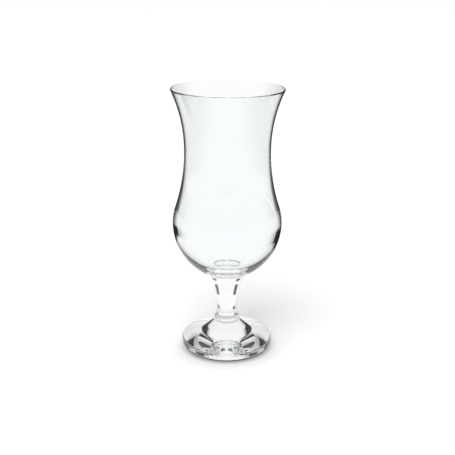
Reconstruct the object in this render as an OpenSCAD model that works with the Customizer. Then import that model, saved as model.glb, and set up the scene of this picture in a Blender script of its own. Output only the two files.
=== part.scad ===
// Hurricane glass: a tall footed cocktail glass, made of three pieces of clear glass.
// The blown bowl is fused to the pad of a pressed stem, and the stem's ring to a pressed foot.
// Every piece is turned about the Z axis, and the glass stands on Z = 0. Sizes are in millimetres.

/* [Bowl] */
// Height of the bowl, from the pad of the stem to the top of the rim
bowl_h = 145.8; // [125:0.2:165]
// Outside diameter of the rim
rim_d = 84.6; // [76:0.2:96]
// Thickness of the rounded, fire-polished rim
rim_bead = 1.2; // [1:0.1:3]
// Outside diameter of the waist
waist_d = 65.2; // [56:0.2:72]
// Height of the waist above the pad
waist_h = 100.4; // [90:0.2:110]
// Outside diameter of the belly at its widest
belly_d = 84.2; // [76:0.2:96]
// Height of the widest part of the belly above the pad
belly_h = 42.6; // [36:0.2:50]
// Radius of the round shoulder on top of the belly
shoulder_r = 36.8; // [24:0.2:50]
// Thickness of the wall at the waist
waist_wall = 1.2; // [1:0.1:3]
// Thickness of the wall at the widest part of the belly
belly_wall = 3; // [1.6:0.1:4.5]
// Thickness of the solid bottom of the bowl
base_t = 4; // [2.4:0.2:12]

/* [Stem] */
// Height of the stem, from the foot to the bowl
stem_h = 40; // [32:0.2:60]
// Diameter of the pad under the bowl
pad_d = 25.2; // [22:0.2:34]
// Height of the upright edge of the pad
pad_edge = 3.6; // [1:0.2:5]
// Diameter of the shaft at its narrowest
shaft_d = 15.6; // [12:0.2:20]
// Height of the narrowest part of the shaft above the foot
shaft_h = 15.8; // [11:0.2:22]
// How much the shaft widens on each side down to the ring
shank_flare = 1; // [0.4:0.1:2]
// Height of the ring at the lower end of the shaft
ring_h = 2.8; // [2:0.2:6]
// How far the ring stands out from the shaft
ring_proud = 1.3; // [1.2:0.1:3]
// How far the round side of the ring swells between its two edges
ring_swell = 0.3; // [0.1:0.1:0.4]
// Radius of the fillet between the ring and the shaft
ring_fillet = 0.6; // [0.2:0.1:0.7]

/* [Foot] */
// Height of the foot, from the table to the ring
foot_h = 19.2; // [15:0.2:26]
// Diameter of the foot
foot_d = 72.2; // [64:0.2:84]
// Thickness of the foot at its edge
edge_t = 5; // [4:0.1:6.5]
// Rounding of the upper edge of the foot
edge_round = 2; // [0.6:0.1:2.4]
// Rounding of the lower edge of the foot
toe_round = 1.6; // [0.4:0.1:2]
// Diameter of the cone where it meets the plate of the foot
cone_d = 40.8; // [34:0.2:48]
// Height of the plate where the cone meets it
plate_h = 10.4; // [8:0.1:13]
// Radius of the fillet between the plate and the cone
cone_fillet = 1.5; // [0.4:0.1:4]

/* [Hidden] */
$fn = 96;

// Steps along each round stretch of an outline
long_steps = 20;
short_steps = 10;

glass_tint = [0.86, 0.93, 0.92, 0.45];

// Heights of the two fused joints above the table
stem_z = foot_h;
bowl_z = foot_h + stem_h;

// Half sizes of the bowl, outside and inside
pad_r = pad_d / 2;
rim_r = rim_d / 2;
bead_r = rim_bead / 2;
waist_r = waist_d / 2;
belly_r = belly_d / 2;
waist_in_r = waist_r - waist_wall;
belly_in_r = belly_r - belly_wall;
bead_centre = [rim_r - bead_r, bowl_h - bead_r];

// Two hollow curves make the shaft, from its narrowest place up to the pad and down to the ring
shaft_r = shaft_d / 2;
pad_z = stem_h - pad_edge;
upper_curve = side_radius(pad_r - shaft_r, pad_z - shaft_h);
upper_centre = [shaft_r + upper_curve, shaft_h];
lower_curve = side_radius(shank_flare, shaft_h - ring_h);
lower_centre = [shaft_r + lower_curve, shaft_h];

// The ring stands out from the shaft, and its lower edge is the joint with the foot
joint_r = shaft_r + shank_flare + ring_proud - ring_swell;

// Radius of the arc that starts upright and ends a given distance across and along
function side_radius(across, along) = (across ^ 2 + along ^ 2) / (2 * across);

// Points of an arc, without its first point
function arc(centre, radius, from, to, steps) =
    [for (i = [1:steps])
        let (a = from + (to - from) * i / steps)
        centre + radius * [cos(a), sin(a)]];

function direction(from, to) = atan2(to[1] - from[1], to[0] - from[0]);

function unit(v) = v / norm(v);

// Points that round the corner between two straight stretches
function rounded_corner(before, corner, after, radius) =
    let (u = unit(before - corner),
         v = unit(after - corner),
         half = acos(u * v) / 2,
         centre = corner + unit(u + v) * radius / sin(half),
         first = corner + u * radius / tan(half),
         from = direction(centre, first),
         to = direction(centre, corner + v * radius / tan(half)),
         turn = (to - from + 540) % 360 - 180)
    concat([first], arc(centre, radius, from, from + turn, short_steps));

// One side of the bowl between belly and rim, from the belly upwards.
// side is 1 for the outside, where the rim bead meets the flare from within, and -1 for the inside.
function bowl_side(belly, waist, shoulder, side) =
    let (rise = waist_h - belly_h,
         hollow = side_radius(belly - waist, rise) - shoulder,
         shoulder_centre = [belly - shoulder, belly_h],
         hollow_centre = [waist + hollow, waist_h],
         turn = direction(shoulder_centre, hollow_centre),
         out = bead_centre[0] - waist,
         up = bead_centre[1] - waist_h,
         flare = (out ^ 2 + up ^ 2 - bead_r ^ 2) / (2 * (out + side * bead_r)),
         flare_centre = [waist + flare, waist_h],
         lean = 180 - direction(flare_centre, bead_centre))
    concat([[belly, belly_h]],
           arc(shoulder_centre, shoulder, 0, turn, short_steps),
           arc(hollow_centre, hollow, 180 + turn, 180, long_steps),
           arc(flare_centre, flare, 180, 180 - lean, long_steps));

function reversed(list) = [for (i = [len(list) - 1:-1:0]) list[i]];

module turned(outline) {
    rotate_extrude() polygon(outline);
}

// Blown bowl: round belly, waist and flared rim, with a thin wall that grows towards the bottom
module bowl() {
    under_r = side_radius(belly_r - pad_r, belly_h);
    under_centre = [belly_r - under_r, belly_h];
    under = arc(under_centre, under_r, direction(under_centre, [pad_r, 0]), 0, long_steps);
    outside = bowl_side(belly_r, waist_r, shoulder_r, 1);
    inside = bowl_side(belly_in_r, waist_in_r, shoulder_r - belly_wall, -1);
    outer_end = outside[len(outside) - 1];
    inner_end = inside[len(inside) - 1];
    bead = arc(bead_centre, bead_r, direction(bead_centre, outer_end),
               direction(bead_centre, inner_end), short_steps);
    bottom = [for (i = [1:long_steps])
        let (a = 90 * i / long_steps)
        [belly_in_r * cos(a), belly_h - (belly_h - base_t) * sin(a)]];
    color(glass_tint)
        translate([0, 0, bowl_z])
            turned(concat([[0, 0], [pad_r, 0]],
                          [for (i = [0:len(under) - 2]) under[i]],
                          outside,
                          [for (i = [0:len(bead) - 2]) bead[i]],
                          reversed(inside),
                          bottom));
}

// Pressed stem: ring, hourglass shaft and the pad that carries the bowl
module stem() {
    swell_r = side_radius(ring_swell, ring_h / 2);
    swell_centre = [joint_r + ring_swell - swell_r, ring_h / 2];
    swell_turn = asin(ring_h / 2 / swell_r);
    fillet_z = ring_h + ring_fillet;
    fillet_reach = sqrt((lower_curve - ring_fillet) ^ 2 - (shaft_h - fillet_z) ^ 2);
    fillet_centre = [lower_centre[0] - fillet_reach, fillet_z];
    fillet_end = direction(lower_centre, fillet_centre) + 360;
    upper_end = direction(upper_centre, [pad_r, pad_z]);
    color(glass_tint)
        translate([0, 0, stem_z])
            turned(concat([[0, 0], [joint_r, 0]],
                          arc(swell_centre, swell_r, -swell_turn, swell_turn, short_steps),
                          [[fillet_centre[0], ring_h]],
                          arc(fillet_centre, ring_fillet, 270, fillet_end, short_steps),
                          arc(lower_centre, lower_curve, fillet_end, 180, short_steps),
                          arc(upper_centre, upper_curve, 180, upper_end, long_steps),
                          [[pad_r, stem_h], [0, stem_h]]));
}

// Pressed foot: sloping plate with a flat underside, and the cone that carries the stem
module foot() {
    middle = [0, 0];
    toe = [foot_d / 2, 0];
    edge = [foot_d / 2, edge_t];
    crease = [cone_d / 2, plate_h];
    top = [joint_r, foot_h];
    color(glass_tint)
        turned(concat([middle],
                      rounded_corner(middle, toe, edge, toe_round),
                      rounded_corner(toe, edge, crease, edge_round),
                      rounded_corner(edge, crease, top, cone_fillet),
                      [top, [0, foot_h]]));
}

bowl();
stem();
foot();
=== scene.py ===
import math

import bpy
from mathutils import Matrix, Vector


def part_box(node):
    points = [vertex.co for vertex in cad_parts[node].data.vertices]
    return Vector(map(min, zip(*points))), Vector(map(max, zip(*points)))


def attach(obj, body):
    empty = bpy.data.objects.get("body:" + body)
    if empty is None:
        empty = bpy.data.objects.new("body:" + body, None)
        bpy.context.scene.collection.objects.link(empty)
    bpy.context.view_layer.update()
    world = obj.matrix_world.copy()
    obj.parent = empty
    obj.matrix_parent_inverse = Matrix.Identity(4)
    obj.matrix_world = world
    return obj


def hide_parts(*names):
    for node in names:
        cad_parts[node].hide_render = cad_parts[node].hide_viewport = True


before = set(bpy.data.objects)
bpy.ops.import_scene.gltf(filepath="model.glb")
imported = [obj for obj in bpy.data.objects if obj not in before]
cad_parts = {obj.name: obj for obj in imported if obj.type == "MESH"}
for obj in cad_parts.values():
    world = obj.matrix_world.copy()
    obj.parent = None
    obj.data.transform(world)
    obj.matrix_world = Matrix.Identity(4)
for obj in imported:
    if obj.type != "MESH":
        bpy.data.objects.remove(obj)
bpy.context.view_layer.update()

MM = 0.001

# Sizes of the glass in metres. The heights of the joints and the rim come from the parts in model.glb, and
# each piece is turned about the Z axis.
foot_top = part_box("foot")[1][2]
stem_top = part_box("stem")[1][2]
rim_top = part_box("bowl")[1][2]

# Bowl
rim_r = 42.3 * MM
bead_r = 0.6 * MM
waist_r = 32.6 * MM
waist_z = stem_top + 100.4 * MM
belly_r = 42.1 * MM
belly_z = stem_top + 42.6 * MM
shoulder_r = 36.8 * MM
waist_wall = 1.2 * MM
belly_wall = 3.0 * MM
base_t = 4.0 * MM

# Stem
pad_r = 12.6 * MM
pad_edge = 3.6 * MM
shaft_r = 7.8 * MM
shaft_z = foot_top + 15.8 * MM
shank_r = 8.8 * MM
ring_h = 2.8 * MM
ring_proud = 1.3 * MM
ring_swell = 0.3 * MM
ring_fillet = 0.6 * MM

# Foot
foot_r = 36.1 * MM
edge_t = 5.0 * MM
edge_round = 2.0 * MM
toe_round = 1.6 * MM
cone_r = 20.4 * MM
plate_h = 10.4 * MM
cone_fillet = 1.5 * MM

# The skins of two fused pieces keep this hair's breadth, because light gets lost between faces in one plane
joint_gap = 0.01 * MM
bowl_base = stem_top + joint_gap
stem_base = foot_top + joint_gap

# Steps along each stretch of the outlines, and round the axis
JOINT_STEPS = 6
SHOULDER_STEPS = 20
HOLLOW_STEPS = 24
FLARE_STEPS = 30
BELLY_STEPS = 40
BEAD_STEPS = 16
SWELL_STEPS = 16
FILLET_STEPS = 8
SHANK_STEPS = 20
SHAFT_STEPS = 30
PAD_STEPS = 4
UNDERSIDE_STEPS = 20
TOE_STEPS = 10
EDGE_STEPS = 14
CREASE_STEPS = 12
CONE_STEPS = 12
WIDE_SEGMENTS = 256
STEM_SEGMENTS = 192

# Points closer than this become one, and edges that turn by more than these degrees stay crisp
MERGE_DISTANCE = 1e-6
SHARP_ANGLE = 40

# Clear glass: its index, two tints, the waves of blown and pressed work, the film from handling, and how
# often light may turn in it
GLASS_IOR = 1.52
GLASS_TINT = (0.972, 0.989, 0.996, 1)
GLASS_PALE = (0.98, 0.992, 0.996, 1)
WAVE_SCALE = 24
WAVE_DETAIL = 1.5
WAVE_HEIGHT = 0.03 * MM
FILM_SCALE = 160
FILM_DETAIL = 4.0
FILM_START = 0.55
FILM_FULL = 0.8
FILM_ROUGHNESS = 0.02
BOUNCES = 128

# Where the camera of the photograph stood, and its lens
IMAGE_SIDE = 455
CAMERA_BACK = 550.5 * MM
CAMERA_UP = 290.5 * MM
CAMERA_TILT = 19.36
CAMERA_RIGHT = 0.25 * MM
CAMERA_ROLL = 0.28
FOCAL_PIXELS = 751.3
SENSOR = 36.0

# Studio that light mirrored by the glass meets. A level of 1 is white. Angles are in degrees, up from the
# table, or from the middle of the backdrop to either side.
BACK_LEVEL = 0.95
BACK_EDGE = 26
DARK_EDGE = 38
DARK_LEVEL = 0.02
OVERHEAD_LOW = 42
OVERHEAD_HIGH = 52
OVERHEAD_LEVEL = 0.95

# Narrower backdrop that the outer skin mirrors
SHEEN_EDGE = 8
SHEEN_END = 18

# Light from the camera's side, for light mirrored once, and again for light mirrored more often, which loses
# it between few and many times
FRONT_EDGE = 65
FRONT_FULL = 98
FRONT_LEVEL = 0.95
AGAIN_EDGE = 100
AGAIN_FULL = 130
AGAIN_LEVEL = 0.6
AGAIN_FEW = 8
AGAIN_MANY = 16

# Light for what the far wall of the bowl mirrors once
BOWL_LEVEL = 0.95

# Painted light and shade on the table as mirrored light meets it: a white sheet that lies a little to the
# left, a white strip behind the glass, painted shade under the foot, a bright place beside the sheet and a
# trace of the room far off
SHEET_LEFT = 35 * MM
SHEET_EDGE = 165 * MM
SHEET_END = 195 * MM
SHEET_DARK = 0.02
STRIP_EDGE = 38 * MM
STRIP_END = 52 * MM
STRIP_FULL = 80 * MM
UNDER_EDGE = 34 * MM
UNDER_END = 40 * MM
UNDER_LEVEL = 0.6
BESIDE_NEAR = 300 * MM
BESIDE_FAR = 340 * MM
BESIDE_EDGE = 25
BESIDE_FULL = 55
ROOM_NEAR = 300 * MM
ROOM_FAR = 550 * MM
ROOM_LEVEL = 0.05

# Painted grey shade on the table far behind the glass, left and right, as it shows through both walls of the
# bowl
SIDE_SHADE_EDGE = 25 * MM
SIDE_SHADE_FULL = 90 * MM
SIDE_SHADE_DARK = 0.11
SIDE_SHADE_NEAR = 330 * MM
SIDE_SHADE_FAR = 500 * MM

# Two painted dark flags, on the table and in the world, that show in the shaft: the middle of each in degrees
# to the right of the backdrop's middle, half its width, the blur of its sides, the heights between which it
# ends, and its level
FLAG_LEFT = -37
FLAG_LEFT_HALF = 10
FLAG_RIGHT = 62
FLAG_RIGHT_HALF = 29
FLAG_BLUR = 3
FLAG_LOW = 8
FLAG_HIGH = 14
FLAG_LEVEL = 0.05

# Clear bands behind the shaft, from the lower to the upper height of each
SLEEVE_R = 13.5 * MM
SLEEVE_BANDS = ((17.5 * MM, 24 * MM), (38 * MM, 51.6 * MM))
SLEEVE_STEPS = 32

# Painted shade on the table round the front of the foot, and a painted pinched shade right under its rounded
# edge
CONTACT_START = 1 * MM
CONTACT_NEAR = 42 * MM
CONTACT_FAR = 58 * MM
CONTACT_DARK = 0.4
CONTACT_SOFT = 0.2
CONTACT_FRONT = -32 * MM
CONTACT_BACK = 5 * MM
CONTACT_REST = 0.15
PINCH_DARK = 0.92
PINCH_START = 1.5 * toe_round
PINCH_END = 1.4 * MM

# Table: half its side, how far it lies below the foot, and its own glow and its white, seen straight and
# through the glass
TABLE_HALF = 4.0
TABLE_DROP = 0.2 * MM
TABLE_GLOW = 0.40
GLOW_THROUGH = 0.97
TABLE_WHITE = 0.8
WHITE_THROUGH = 0.03

# Light of the room on the table, straight and through solid glass, and the lamp that casts the shadow
ROOM_LIGHT = 0.45
LIGHT_THROUGH = 0.12
KEY_POWER = 1.5
KEY_SPREAD = 45
KEY_HEIGHT = 62
KEY_LEFT = 25


def side_radius(across, along):
    """Radius of the arc that starts upright and ends a given distance across and along."""
    return (across ** 2 + along ** 2) / (2 * across)


def arc(centre, radius, start, end, steps):
    """Points of an arc between two angles in radians, without its first point."""
    turns = [start + (end - start) * i / steps for i in range(1, steps + 1)]
    return [(centre[0] + radius * math.cos(a), centre[1] + radius * math.sin(a)) for a in turns]


def direction(start, end):
    return math.atan2(end[1] - start[1], end[0] - start[0])


def rounded_corner(before, corner, after, radius, steps):
    """Points that round the corner between two straight stretches of an outline."""
    corner = Vector(corner)
    u = (Vector(before) - corner).normalized()
    v = (Vector(after) - corner).normalized()
    half = u.angle(v) / 2
    centre = corner + (u + v).normalized() * radius / math.sin(half)
    first = corner + u * radius / math.tan(half)
    last = corner + v * radius / math.tan(half)
    start = direction(centre, first)
    turn = (direction(centre, last) - start + 3 * math.pi) % math.tau - math.pi
    return [tuple(first)] + arc(centre, radius, start, start + turn, steps)


def straight(start, end, steps):
    """Points along a straight stretch, without its first point."""
    a, b = Vector(start), Vector(end)
    return [tuple(a.lerp(b, i / steps)) for i in range(1, steps + 1)]


def bowl_side(belly, waist, shoulder, side):
    """One side of the bowl from belly to rim; side is 1 outside and -1 inside."""
    bead = (rim_r - bead_r, rim_top - bead_r)
    hollow = side_radius(belly - waist, waist_z - belly_z) - shoulder
    shoulder_centre = (belly - shoulder, belly_z)
    hollow_centre = (waist + hollow, waist_z)
    turn = direction(shoulder_centre, hollow_centre)
    out, up = bead[0] - waist, bead[1] - waist_z
    flare = (out ** 2 + up ** 2 - bead_r ** 2) / (2 * (out + side * bead_r))
    flare_centre = (waist + flare, waist_z)
    points = [(belly, belly_z)]
    points += arc(shoulder_centre, shoulder, 0, turn, SHOULDER_STEPS)
    points += arc(hollow_centre, hollow, math.pi + turn, math.pi, HOLLOW_STEPS)
    points += arc(flare_centre, flare, math.pi, direction(flare_centre, bead), FLARE_STEPS)
    return points


def bowl_outline():
    """Outline of the bowl, from its joint up the outside, over the rim bead and down the inside."""
    lower_r = side_radius(belly_r - pad_r, belly_z - stem_top)
    lower_centre = (belly_r - lower_r, belly_z)
    lower_start = direction(lower_centre, (pad_r, stem_top))
    inside_r = belly_r - belly_wall
    outside = bowl_side(belly_r, waist_r, shoulder_r, 1)
    inside = bowl_side(inside_r, waist_r - waist_wall, shoulder_r - belly_wall, -1)
    bead = (rim_r - bead_r, rim_top - bead_r)
    over = direction(bead, outside[-1]), direction(bead, inside[-1])
    depth = belly_z - stem_top - base_t
    quarter = [math.pi / 2 * i / BELLY_STEPS for i in range(1, BELLY_STEPS + 1)]
    points = [(0.0, bowl_base)] + straight((0, bowl_base), (pad_r, bowl_base), JOINT_STEPS)
    points += arc(lower_centre, lower_r, lower_start, 0, BELLY_STEPS)[:-1]
    points += outside
    points += arc(bead, bead_r, over[0], over[1], BEAD_STEPS)[:-1]
    points += inside[::-1]
    points += [(inside_r * math.cos(a), belly_z - depth * math.sin(a)) for a in quarter]
    return points


def shaft_curve(end_r, end_z):
    """Centre and radius of the hollow curve from the thinnest place of the shaft to one of its ends."""
    radius = side_radius(end_r - shaft_r, abs(end_z - shaft_z))
    return (shaft_r + radius, shaft_z), radius


def joint_radius():
    """Radius of the joint between ring and foot."""
    return shank_r + ring_proud - ring_swell


def stem_outline():
    """Outline of the stem, from its joint with the foot up over the ring and the shaft to the pad."""
    joint_r = joint_radius()
    ring_z = foot_top + ring_h
    pad_z = stem_top - pad_edge
    swell = side_radius(ring_swell, ring_h / 2)
    swell_centre = (joint_r + ring_swell - swell, foot_top + ring_h / 2)
    swell_turn = math.asin(ring_h / 2 / swell)
    lower, lower_r = shaft_curve(shank_r, ring_z)
    upper, upper_r = shaft_curve(pad_r, pad_z)
    reach = math.sqrt((lower_r - ring_fillet) ** 2 - (shaft_z - ring_z - ring_fillet) ** 2)
    fillet_centre = (lower[0] - reach, ring_z + ring_fillet)
    fillet_end = direction(lower, fillet_centre) + math.tau
    points = [(0.0, stem_base)] + straight((0, stem_base), (joint_r, stem_base), JOINT_STEPS)
    points += arc(swell_centre, swell, -swell_turn, swell_turn, SWELL_STEPS)
    points += [(fillet_centre[0], ring_z)]
    points += arc(fillet_centre, ring_fillet, 1.5 * math.pi, fillet_end, FILLET_STEPS)
    points += arc(lower, lower_r, fillet_end, math.pi, SHANK_STEPS)
    points += arc(upper, upper_r, math.pi, direction(upper, (pad_r, pad_z)), SHAFT_STEPS)
    points += straight((pad_r, pad_z), (pad_r, stem_top), PAD_STEPS)
    points += straight((pad_r, stem_top), (0, stem_top), JOINT_STEPS)
    return points


def foot_outline():
    """Outline of the foot, from the middle of its flat underside round the edge and up the cone."""
    middle, toe, edge = (0.0, 0.0), (foot_r, 0), (foot_r, edge_t)
    crease, top = (cone_r, plate_h), (joint_radius(), foot_top)
    points = [middle] + straight(middle, (foot_r - toe_round, 0), UNDERSIDE_STEPS)[:-1]
    points += rounded_corner(middle, toe, edge, toe_round, TOE_STEPS)
    points += rounded_corner(toe, edge, crease, edge_round, EDGE_STEPS)
    points += rounded_corner(edge, crease, top, cone_fillet, CREASE_STEPS)
    points += straight(points[-1], top, CONE_STEPS)
    points += straight(top, (0, foot_top), JOINT_STEPS)
    return points


def node(tree, kind, **settings):
    made = tree.nodes.new(kind)
    for name, value in settings.items():
        setattr(made, name, value)
    return made


def maths_in(tree):
    """Function that adds a Math node to a tree, on sockets or plain numbers, and gives its output."""
    def maths(operation, a, b=0.0):
        made = node(tree, "ShaderNodeMath", operation=operation)
        for socket, value in zip(made.inputs, (a, b)):
            if isinstance(value, (int, float)):
                socket.default_value = value
            else:
                tree.links.new(value, socket)
        return made.outputs[0]
    return maths


def ramp_in(tree):
    """Function that adds a smooth step to a tree, from low at start to high at end, and gives its output."""
    def ramp(value, start, end, low, high):
        made = node(tree, "ShaderNodeMapRange", interpolation_type="SMOOTHSTEP")
        tree.links.new(value, made.inputs["Value"])
        for socket, number in zip(made.inputs[1:5], (start, end, low, high)):
            socket.default_value = number
        return made.outputs[0]
    return ramp


def parts_of(tree, vector):
    """X, Y and Z of a place or a direction."""
    made = node(tree, "ShaderNodeSeparateXYZ")
    tree.links.new(vector, made.inputs[0])
    return made.outputs


def length_of(tree, vector):
    made = node(tree, "ShaderNodeVectorMath", operation="LENGTH")
    tree.links.new(vector, made.inputs[0])
    return made.outputs["Value"]


def turning_tree():
    """Geometry nodes that turn an outline in the XZ plane about Z into a closed skin."""
    tree = bpy.data.node_groups.new("Turned Glass", "GeometryNodeTree")
    face = tree.interface
    face.new_socket("Outline", in_out="INPUT", socket_type="NodeSocketGeometry")
    face.new_socket("Segments", in_out="INPUT", socket_type="NodeSocketInt")
    face.new_socket("Merge Distance", in_out="INPUT", socket_type="NodeSocketFloat")
    face.new_socket("Lower Joint", in_out="INPUT", socket_type="NodeSocketFloat")
    face.new_socket("Upper Joint", in_out="INPUT", socket_type="NodeSocketFloat")
    face.new_socket("Glass", in_out="INPUT", socket_type="NodeSocketMaterial")
    face.new_socket("Joint", in_out="INPUT", socket_type="NodeSocketMaterial")
    face.new_socket("Skin", in_out="OUTPUT", socket_type="NodeSocketGeometry")
    given = node(tree, "NodeGroupInput").outputs
    link = tree.links.new
    maths = maths_in(tree)

    count = node(tree, "GeometryNodeAttributeDomainSize", component="MESH")
    link(given["Outline"], count.inputs["Geometry"])
    points = count.outputs["Point Count"]
    grid = node(tree, "GeometryNodeMeshGrid")
    link(maths("ADD", given["Segments"], 1), grid.inputs["Vertices X"])
    link(points, grid.inputs["Vertices Y"])
    index = node(tree, "GeometryNodeInputIndex").outputs[0]
    along = maths("MODULO", index, points)
    column = maths("FLOOR", maths("DIVIDE", index, points))
    sample = node(tree, "GeometryNodeSampleIndex", data_type="FLOAT_VECTOR", domain="POINT")
    link(given["Outline"], sample.inputs["Geometry"])
    link(node(tree, "GeometryNodeInputPosition").outputs[0], sample.inputs["Value"])
    link(along, sample.inputs["Index"])
    turn = node(tree, "ShaderNodeVectorRotate", rotation_type="Z_AXIS")
    link(sample.outputs[0], turn.inputs["Vector"])
    share = maths("DIVIDE", column, given["Segments"])
    link(maths("MULTIPLY", share, math.tau), turn.inputs["Angle"])
    place = node(tree, "GeometryNodeSetPosition")
    link(grid.outputs["Mesh"], place.inputs["Geometry"])
    link(turn.outputs[0], place.inputs["Position"])
    merge = node(tree, "GeometryNodeMergeByDistance")
    link(place.outputs[0], merge.inputs["Geometry"])
    link(given["Merge Distance"], merge.inputs["Distance"])
    smooth = node(tree, "GeometryNodeSetShadeSmooth")
    link(merge.outputs[0], smooth.inputs["Geometry"])
    whole = node(tree, "GeometryNodeRealizeInstances")
    link(smooth.outputs[0], whole.inputs["Geometry"])
    glass = node(tree, "GeometryNodeSetMaterial")
    link(whole.outputs[0], glass.inputs["Geometry"])
    link(given["Glass"], glass.inputs["Material"])

    height = parts_of(tree, node(tree, "GeometryNodeInputPosition").outputs[0])["Z"]

    def level(joint):
        gap = maths("ABSOLUTE", maths("SUBTRACT", height, joint))
        return maths("LESS_THAN", gap, given["Merge Distance"])

    either = maths("MAXIMUM", level(given["Lower Joint"]), level(given["Upper Joint"]))
    joint = node(tree, "GeometryNodeSetMaterial")
    link(glass.outputs[0], joint.inputs["Geometry"])
    link(either, joint.inputs["Selection"])
    link(given["Joint"], joint.inputs["Material"])
    link(joint.outputs[0], node(tree, "NodeGroupOutput").inputs["Skin"])
    return tree


def turned_piece(name, outline, segments, joints, tree, glass, joint):
    """A closed glass skin turned from an outline, as a plain mesh."""
    profile = bpy.data.meshes.new(name + "_outline")
    edges = [(i, i + 1) for i in range(len(outline) - 1)]
    profile.from_pydata([(r, 0, z) for r, z in outline], edges, [])
    drawn = bpy.data.objects.new(name + "_outline", profile)
    bpy.context.scene.collection.objects.link(drawn)
    modifier = drawn.modifiers.new("Turned Glass", "NODES")
    modifier.node_group = tree
    values = {"Segments": segments, "Merge Distance": MERGE_DISTANCE, "Lower Joint": joints[0],
              "Upper Joint": joints[1], "Glass": glass, "Joint": joint}
    for item in tree.interface.items_tree:
        if item.in_out == "INPUT" and item.name in values:
            modifier[item.identifier] = values[item.name]
    skin = bpy.data.meshes.new_from_object(drawn.evaluated_get(bpy.context.evaluated_depsgraph_get()))
    skin.name = name
    drawn.modifiers.remove(modifier)
    bpy.data.objects.remove(drawn)
    skin.set_sharp_from_angle(angle=math.radians(SHARP_ANGLE))
    piece = bpy.data.objects.new(name, skin)
    bpy.context.scene.collection.objects.link(piece)
    return piece


def glass_material():
    """Clear glass with the slight waves of blown and pressed work, and a faint film from handling."""
    material = bpy.data.materials.new("Clear glass")
    material.use_nodes = True
    tree = material.node_tree
    link = tree.links.new
    place = node(tree, "ShaderNodeTexCoord").outputs["Object"]

    def noise(scale, detail):
        made = node(tree, "ShaderNodeTexNoise")
        link(place, made.inputs["Vector"])
        made.inputs["Scale"].default_value = scale
        made.inputs["Detail"].default_value = detail
        return made.outputs["Fac"]

    waves = noise(WAVE_SCALE, WAVE_DETAIL)
    bump = node(tree, "ShaderNodeBump")
    bump.inputs["Strength"].default_value = 1.0
    bump.inputs["Distance"].default_value = WAVE_HEIGHT
    link(waves, bump.inputs["Height"])
    film = ramp_in(tree)(noise(FILM_SCALE, FILM_DETAIL), FILM_START, FILM_FULL, 0.0, FILM_ROUGHNESS)
    tint = node(tree, "ShaderNodeMix", data_type="RGBA")
    link(waves, tint.inputs["Factor"])
    colours = [socket for socket in tint.inputs if socket.type == "RGBA"]
    colours[0].default_value = GLASS_TINT
    colours[1].default_value = GLASS_PALE
    mixed = [socket for socket in tint.outputs if socket.type == "RGBA"]
    shader = tree.nodes["Principled BSDF"]
    link(mixed[0], shader.inputs["Base Color"])
    link(film, shader.inputs["Roughness"])
    link(bump.outputs["Normal"], shader.inputs["Normal"])
    shader.inputs["IOR"].default_value = GLASS_IOR
    shader.inputs["Transmission Weight"].default_value = 1.0
    return material


def joint_material():
    """Fused joint: glass runs on through it, so the face is not seen at all."""
    material = bpy.data.materials.new("Fused joint")
    material.use_nodes = True
    shader = material.node_tree.nodes["Principled BSDF"]
    shader.inputs["Base Color"].default_value = GLASS_TINT
    shader.inputs["Alpha"].default_value = 0.0
    return material


def bearing(tree, way):
    """How far a direction turns from the middle of the backdrop to the right, in radians."""
    parts = parts_of(tree, way)
    return maths_in(tree)("ARCTAN2", parts["X"], parts["Y"])


def azimuth(tree, way):
    """How far a direction turns from the middle of the backdrop to either side, in radians."""
    return maths_in(tree)("ABSOLUTE", bearing(tree, way))


def mirrored_once(tree):
    """1 for rays that the glass has mirrored only once, and 0 for those mirrored more often."""
    maths = maths_in(tree)
    depth = node(tree, "ShaderNodeLightPath").outputs["Glossy Depth"]
    return maths("SUBTRACT", 2.0, maths("MINIMUM", maths("MAXIMUM", depth, 1.0), 2.0))


def crossed_bowl(tree):
    """0 for rays that passed no more than two faces of glass, and 1 for those that passed more."""
    maths = maths_in(tree)
    depth = node(tree, "ShaderNodeLightPath").outputs["Transmission Depth"]
    return maths("SUBTRACT", maths("MINIMUM", maths("MAXIMUM", depth, 2.0), 3.0), 2.0)


def passed_sleeve(tree):
    """1 for rays that passed a clear face, a band behind the shaft or a fused joint, and 0 for the others."""
    depth = node(tree, "ShaderNodeLightPath").outputs["Transparent Depth"]
    return maths_in(tree)("GREATER_THAN", depth, 0.5)


def front_light(tree, side):
    """Light from the camera's side, weaker for rays that the glass has mirrored more than once."""
    maths, ramp = maths_in(tree), ramp_in(tree)
    once = ramp(side, math.radians(FRONT_EDGE), math.radians(FRONT_FULL), 0.0, FRONT_LEVEL)
    again = ramp(side, math.radians(AGAIN_EDGE), math.radians(AGAIN_FULL), 0.0, AGAIN_LEVEL)
    depth = node(tree, "ShaderNodeLightPath").outputs["Glossy Depth"]
    again = maths("MULTIPLY", again, ramp(depth, AGAIN_FEW, AGAIN_MANY, 1.0, 0.0))
    return maths("MAXIMUM", again, maths("MULTIPLY", mirrored_once(tree), once))


def bowl_light(tree):
    """Level for rays mirrored once on the far wall of the bowl."""
    maths = maths_in(tree)
    return maths("MULTIPLY", maths("MULTIPLY", mirrored_once(tree), crossed_bowl(tree)), BOWL_LEVEL)


def flags(tree, way):
    """Darkness of the two painted flags, on the table and in the world, for rays that solid glass has bent
    and that passed a clear face.
    """
    maths, ramp = maths_in(tree), ramp_in(tree)
    turn = bearing(tree, way)

    def flag(middle, half):
        off = maths("ABSOLUTE", maths("SUBTRACT", turn, math.radians(middle)))
        inner, outer = math.radians(half - FLAG_BLUR), math.radians(half + FLAG_BLUR)
        return ramp(off, inner, outer, 1.0 - FLAG_LEVEL, 0.0)

    both = maths("MAXIMUM", flag(FLAG_LEFT, FLAG_LEFT_HALF), flag(FLAG_RIGHT, FLAG_RIGHT_HALF))
    sleeved = maths("MULTIPLY", both, passed_sleeve(tree))
    return maths("MULTIPLY", sleeved, maths("SUBTRACT", 1.0, crossed_bowl(tree)))


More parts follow.
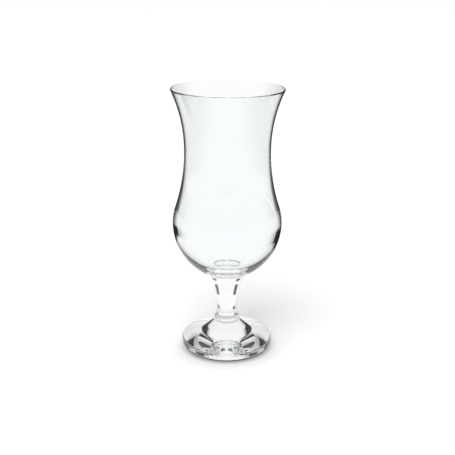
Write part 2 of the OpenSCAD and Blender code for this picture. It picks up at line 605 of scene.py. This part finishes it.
def mirrored_table(tree, place):
    """Painted level of the table, light and shade, for light that the glass has mirrored."""
    maths, ramp = maths_in(tree), ramp_in(tree)
    spot = parts_of(tree, place)
    shift = node(tree, "ShaderNodeVectorMath", operation="ADD")
    tree.links.new(place, shift.inputs[0])
    shift.inputs[1].default_value = (SHEET_LEFT, 0, 0)
    away = length_of(tree, shift.outputs[0])
    side = azimuth(tree, place)
    sheet = ramp(away, SHEET_EDGE, SHEET_END, 1.0, SHEET_DARK)
    strip = ramp(maths("ABSOLUTE", spot["X"]), STRIP_EDGE, STRIP_END, 1.0, 0.0)
    strip = maths("MULTIPLY", strip, ramp(spot["Y"], foot_r, STRIP_FULL, 0.0, 1.0))
    # Painted shade on the table under the foot
    under = ramp(length_of(tree, place), UNDER_EDGE, UNDER_END, UNDER_LEVEL, 1.0)
    sheet = maths("MULTIPLY", maths("MAXIMUM", sheet, strip), under)
    room = ramp(away, ROOM_NEAR, ROOM_FAR, 0.0, ROOM_LEVEL)
    beside = ramp(side, math.radians(BESIDE_EDGE), math.radians(BESIDE_FULL), 0.0, FRONT_LEVEL)
    beside = maths("MULTIPLY", beside, ramp(away, BESIDE_NEAR, BESIDE_FAR, 0.0, 1.0))
    lit = maths("MAXIMUM", maths("MULTIPLY", mirrored_once(tree), beside), front_light(tree, side))
    lit = maths("MAXIMUM", lit, bowl_light(tree))
    return maths("MAXIMUM", maths("MAXIMUM", sheet, room), lit)


def plain_table(tree, place, through):
    """Level of the table for all other light: white, apart from the painted dark flags and the painted grey
    shade at the sides.
    """
    maths, ramp = maths_in(tree), ramp_in(tree)
    spot = parts_of(tree, place)
    # Painted dark flags on the table, for rays bent by solid glass
    unflagged = maths("SUBTRACT", 1.0, maths("MULTIPLY", through, flags(tree, place)))
    # Painted grey shade on the table at the sides, seen only through both walls of the bowl
    grey = ramp(maths("ABSOLUTE", spot["X"]), SIDE_SHADE_EDGE, SIDE_SHADE_FULL, 0.0, SIDE_SHADE_DARK)
    grey = maths("MULTIPLY", grey, ramp(spot["Y"], SIDE_SHADE_NEAR, SIDE_SHADE_FAR, 0.0, 1.0))
    grey = maths("MULTIPLY", grey, maths("MULTIPLY", through, crossed_bowl(tree)))
    return maths("MULTIPLY", unflagged, maths("SUBTRACT", 1.0, grey))


def painted_contact_shade(tree, place):
    """Painted shade on the table round the foot, most at its front, standing in for the foot's contact
    shadow.
    """
    maths, ramp = maths_in(tree), ramp_in(tree)
    out = length_of(tree, place)
    beyond = ramp(out, foot_r - CONTACT_START, foot_r, 0.0, 1.0)
    close = ramp(out, foot_r, CONTACT_NEAR, CONTACT_DARK, 0.0)
    wider = ramp(out, foot_r, CONTACT_FAR, CONTACT_SOFT, 0.0)
    contact = maths("MULTIPLY", beyond, maths("ADD", close, wider))
    pinch = ramp(out, foot_r - PINCH_START, foot_r - toe_round, 0.0, PINCH_DARK)
    fading = ramp(out, foot_r - PINCH_END / 2, foot_r + PINCH_END, 1.0, 0.0)
    pinch = maths("MULTIPLY", pinch, fading)
    facing = ramp(parts_of(tree, place)["Y"], CONTACT_FRONT, CONTACT_BACK, 1.0, CONTACT_REST)
    return maths("MULTIPLY", maths("MAXIMUM", contact, pinch), facing)


def table_material():
    """White table with a glow of its own, at levels that follow the kind of light that meets it, with painted
    light and shade on it.
    """
    material = bpy.data.materials.new("White table")
    material.use_nodes = True
    tree = material.node_tree
    tree.nodes.clear()
    link = tree.links.new
    maths = maths_in(tree)
    path = node(tree, "ShaderNodeLightPath").outputs
    place = node(tree, "ShaderNodeTexCoord").outputs["Object"]
    through = path["Is Transmission Ray"]
    turned = maths("MINIMUM", path["Glossy Depth"], 1.0)
    plain = maths("MULTIPLY", maths("SUBTRACT", 1.0, turned), plain_table(tree, place, through))
    seen = maths("ADD", plain, maths("MULTIPLY", turned, mirrored_table(tree, place)))
    # Painted contact shade round the foot darkens the table for every kind of ray
    seen = maths("MULTIPLY", seen, maths("SUBTRACT", 1.0, painted_contact_shade(tree, place)))

    def by_ray(direct, glass):
        """One level for rays that come straight here, and another for those that come through the glass."""
        return maths("MULTIPLY", seen, maths("ADD", direct, maths("MULTIPLY", through, glass - direct)))

    glow = node(tree, "ShaderNodeEmission")
    link(by_ray(TABLE_GLOW, GLOW_THROUGH), glow.inputs["Strength"])
    white = node(tree, "ShaderNodeBsdfDiffuse")
    grey = node(tree, "ShaderNodeCombineColor")
    level = by_ray(TABLE_WHITE, WHITE_THROUGH)
    for socket in grey.inputs:
        link(level, socket)
    link(grey.outputs[0], white.inputs["Color"])
    both = node(tree, "ShaderNodeAddShader")
    link(glow.outputs[0], both.inputs[0])
    link(white.outputs[0], both.inputs[1])
    link(both.outputs[0], node(tree, "ShaderNodeOutputMaterial").inputs["Surface"])
    return material


def make_world():
    """White where it is seen straight or plainly through the glass, and a studio for mirrored light."""
    world = bpy.data.worlds.new("Studio")
    world.use_nodes = True
    bpy.context.scene.world = world
    tree = world.node_tree
    maths, ramp = maths_in(tree), ramp_in(tree)
    path = node(tree, "ShaderNodeLightPath").outputs
    way = node(tree, "ShaderNodeTexCoord").outputs["Generated"]
    sideways = azimuth(tree, way)
    rise = maths("ARCSINE", parts_of(tree, way)["Z"])

    # Studio
    backdrop = ramp(sideways, math.radians(BACK_EDGE), math.radians(DARK_EDGE), BACK_LEVEL, DARK_LEVEL)
    overhead = ramp(rise, math.radians(OVERHEAD_LOW), math.radians(OVERHEAD_HIGH), 0.0, OVERHEAD_LEVEL)
    sheen = ramp(sideways, math.radians(SHEEN_EDGE), math.radians(SHEEN_END), BACK_LEVEL, DARK_LEVEL)
    around = maths("MAXIMUM", overhead, front_light(tree, sideways))
    around = maths("MAXIMUM", around, bowl_light(tree))
    studio = maths("MAXIMUM", backdrop, around)

    # What each kind of ray meets: turned inside the glass, mirrored by the outer skin, or neither
    through = path["Is Transmission Ray"]
    turned = maths("MULTIPLY", maths("MINIMUM", path["Glossy Depth"], 1.0), through)
    mirrored = maths("MULTIPLY", path["Is Glossy Ray"], maths("SUBTRACT", 1.0, through))
    low = ramp(rise, math.radians(FLAG_LOW), math.radians(FLAG_HIGH), 1.0, 0.0)
    unflagged = maths("SUBTRACT", 1.0, maths("MULTIPLY", flags(tree, way), low))
    plain = maths("MULTIPLY", maths("SUBTRACT", through, turned), unflagged)
    clear = maths("ADD", path["Is Camera Ray"], plain)
    mirror = maths("MULTIPLY", mirrored, maths("MAXIMUM", sheen, around))
    shown = maths("ADD", clear, maths("ADD", maths("MULTIPLY", turned, studio), mirror))

    # Light of the room on the table
    bounced = maths("MINIMUM", path["Diffuse Depth"], 1.0)
    glass = maths("MAXIMUM", through, mirrored)
    solid = maths("MULTIPLY", glass, maths("SUBTRACT", 1.0, crossed_bowl(tree)))
    light = maths("ADD", ROOM_LIGHT, maths("MULTIPLY", solid, LIGHT_THROUGH - ROOM_LIGHT))
    shown = maths("MULTIPLY", shown, maths("SUBTRACT", 1.0, bounced))
    level = maths("ADD", shown, maths("MULTIPLY", bounced, light))
    back = tree.nodes["Background"]
    tree.links.new(level, back.inputs["Strength"])
    back.inputs["Color"].default_value = (1, 1, 1, 1)


def make_stage():
    """White table, and the lamp that casts the soft shadow to the right."""
    mesh = bpy.data.meshes.new("Table")
    half = TABLE_HALF
    corners = [(-half, -half, 0), (half, -half, 0), (half, half, 0), (-half, half, 0)]
    mesh.from_pydata(corners, [], [(0, 1, 2, 3)])
    table = bpy.data.objects.new("Table", mesh)
    table.location.z = -TABLE_DROP
    mesh.materials.append(table_material())
    bpy.context.scene.collection.objects.link(table)
    lamp = bpy.data.lights.new("Key", "SUN")
    lamp.energy = KEY_POWER
    lamp.angle = math.radians(KEY_SPREAD)
    key = bpy.data.objects.new("Key", lamp)
    key.visible_glossy = False
    key.visible_transmission = False
    key.rotation_euler = (math.radians(90 - KEY_HEIGHT), 0, math.radians(-KEY_LEFT))
    bpy.context.scene.collection.objects.link(key)


def make_sleeve():
    """Clear bands behind the shaft, not seen themselves; their mark on a ray is its transparent depth."""
    points, faces = [], []
    for low, high in SLEEVE_BANDS:
        first = len(points)
        for i in range(SLEEVE_STEPS + 1):
            turn = math.pi * i / SLEEVE_STEPS
            x, y = SLEEVE_R * math.cos(turn), SLEEVE_R * math.sin(turn)
            points += [(x, y, low), (x, y, high)]
        for corner in range(first, first + 2 * SLEEVE_STEPS, 2):
            faces += [(corner, corner + 2, corner + 3, corner + 1)]
    mesh = bpy.data.meshes.new("Sleeve")
    mesh.from_pydata(points, [], faces)
    material = bpy.data.materials.new("Clear sleeve")
    material.use_nodes = True
    material.node_tree.nodes["Principled BSDF"].inputs["Alpha"].default_value = 0.0
    mesh.materials.append(material)
    sleeve = bpy.data.objects.new("Sleeve", mesh)
    bpy.context.scene.collection.objects.link(sleeve)


def make_camera():
    lens = bpy.data.cameras.new("Camera")
    lens.sensor_width = SENSOR
    lens.lens = FOCAL_PIXELS / IMAGE_SIDE * SENSOR
    camera = bpy.data.objects.new("Camera", lens)
    camera.location = (CAMERA_RIGHT, -CAMERA_BACK, CAMERA_UP)
    aim = Matrix.Rotation(math.radians(90 - CAMERA_TILT), 3, "X")
    camera.rotation_euler = (aim @ Matrix.Rotation(math.radians(CAMERA_ROLL), 3, "Z")).to_euler()
    bpy.context.scene.collection.objects.link(camera)
    bpy.context.scene.camera = camera


def make_glass():
    """The three pieces of the glass, each in place of the CAD node that it stands for."""
    tree = turning_tree()
    glass, joint = glass_material(), joint_material()
    nowhere = -1.0
    pieces = [("Bowl", "bowl", bowl_outline(), WIDE_SEGMENTS, (bowl_base, nowhere)),
              ("Stem", "stem", stem_outline(), STEM_SEGMENTS, (stem_base, stem_top)),
              ("Foot", "foot", foot_outline(), WIDE_SEGMENTS, (nowhere, foot_top))]
    for name, cad_node, outline, segments, joints in pieces:
        piece = turned_piece(name, outline, segments, joints, tree, glass, joint)
        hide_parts(cad_node)
        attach(piece, "root")


scene = bpy.context.scene
scene.view_settings.view_transform = "Standard"
scene.cycles.max_bounces = BOUNCES
scene.cycles.transmission_bounces = BOUNCES
scene.cycles.glossy_bounces = BOUNCES
make_camera()
make_stage()
make_sleeve()
make_world()
make_glass()
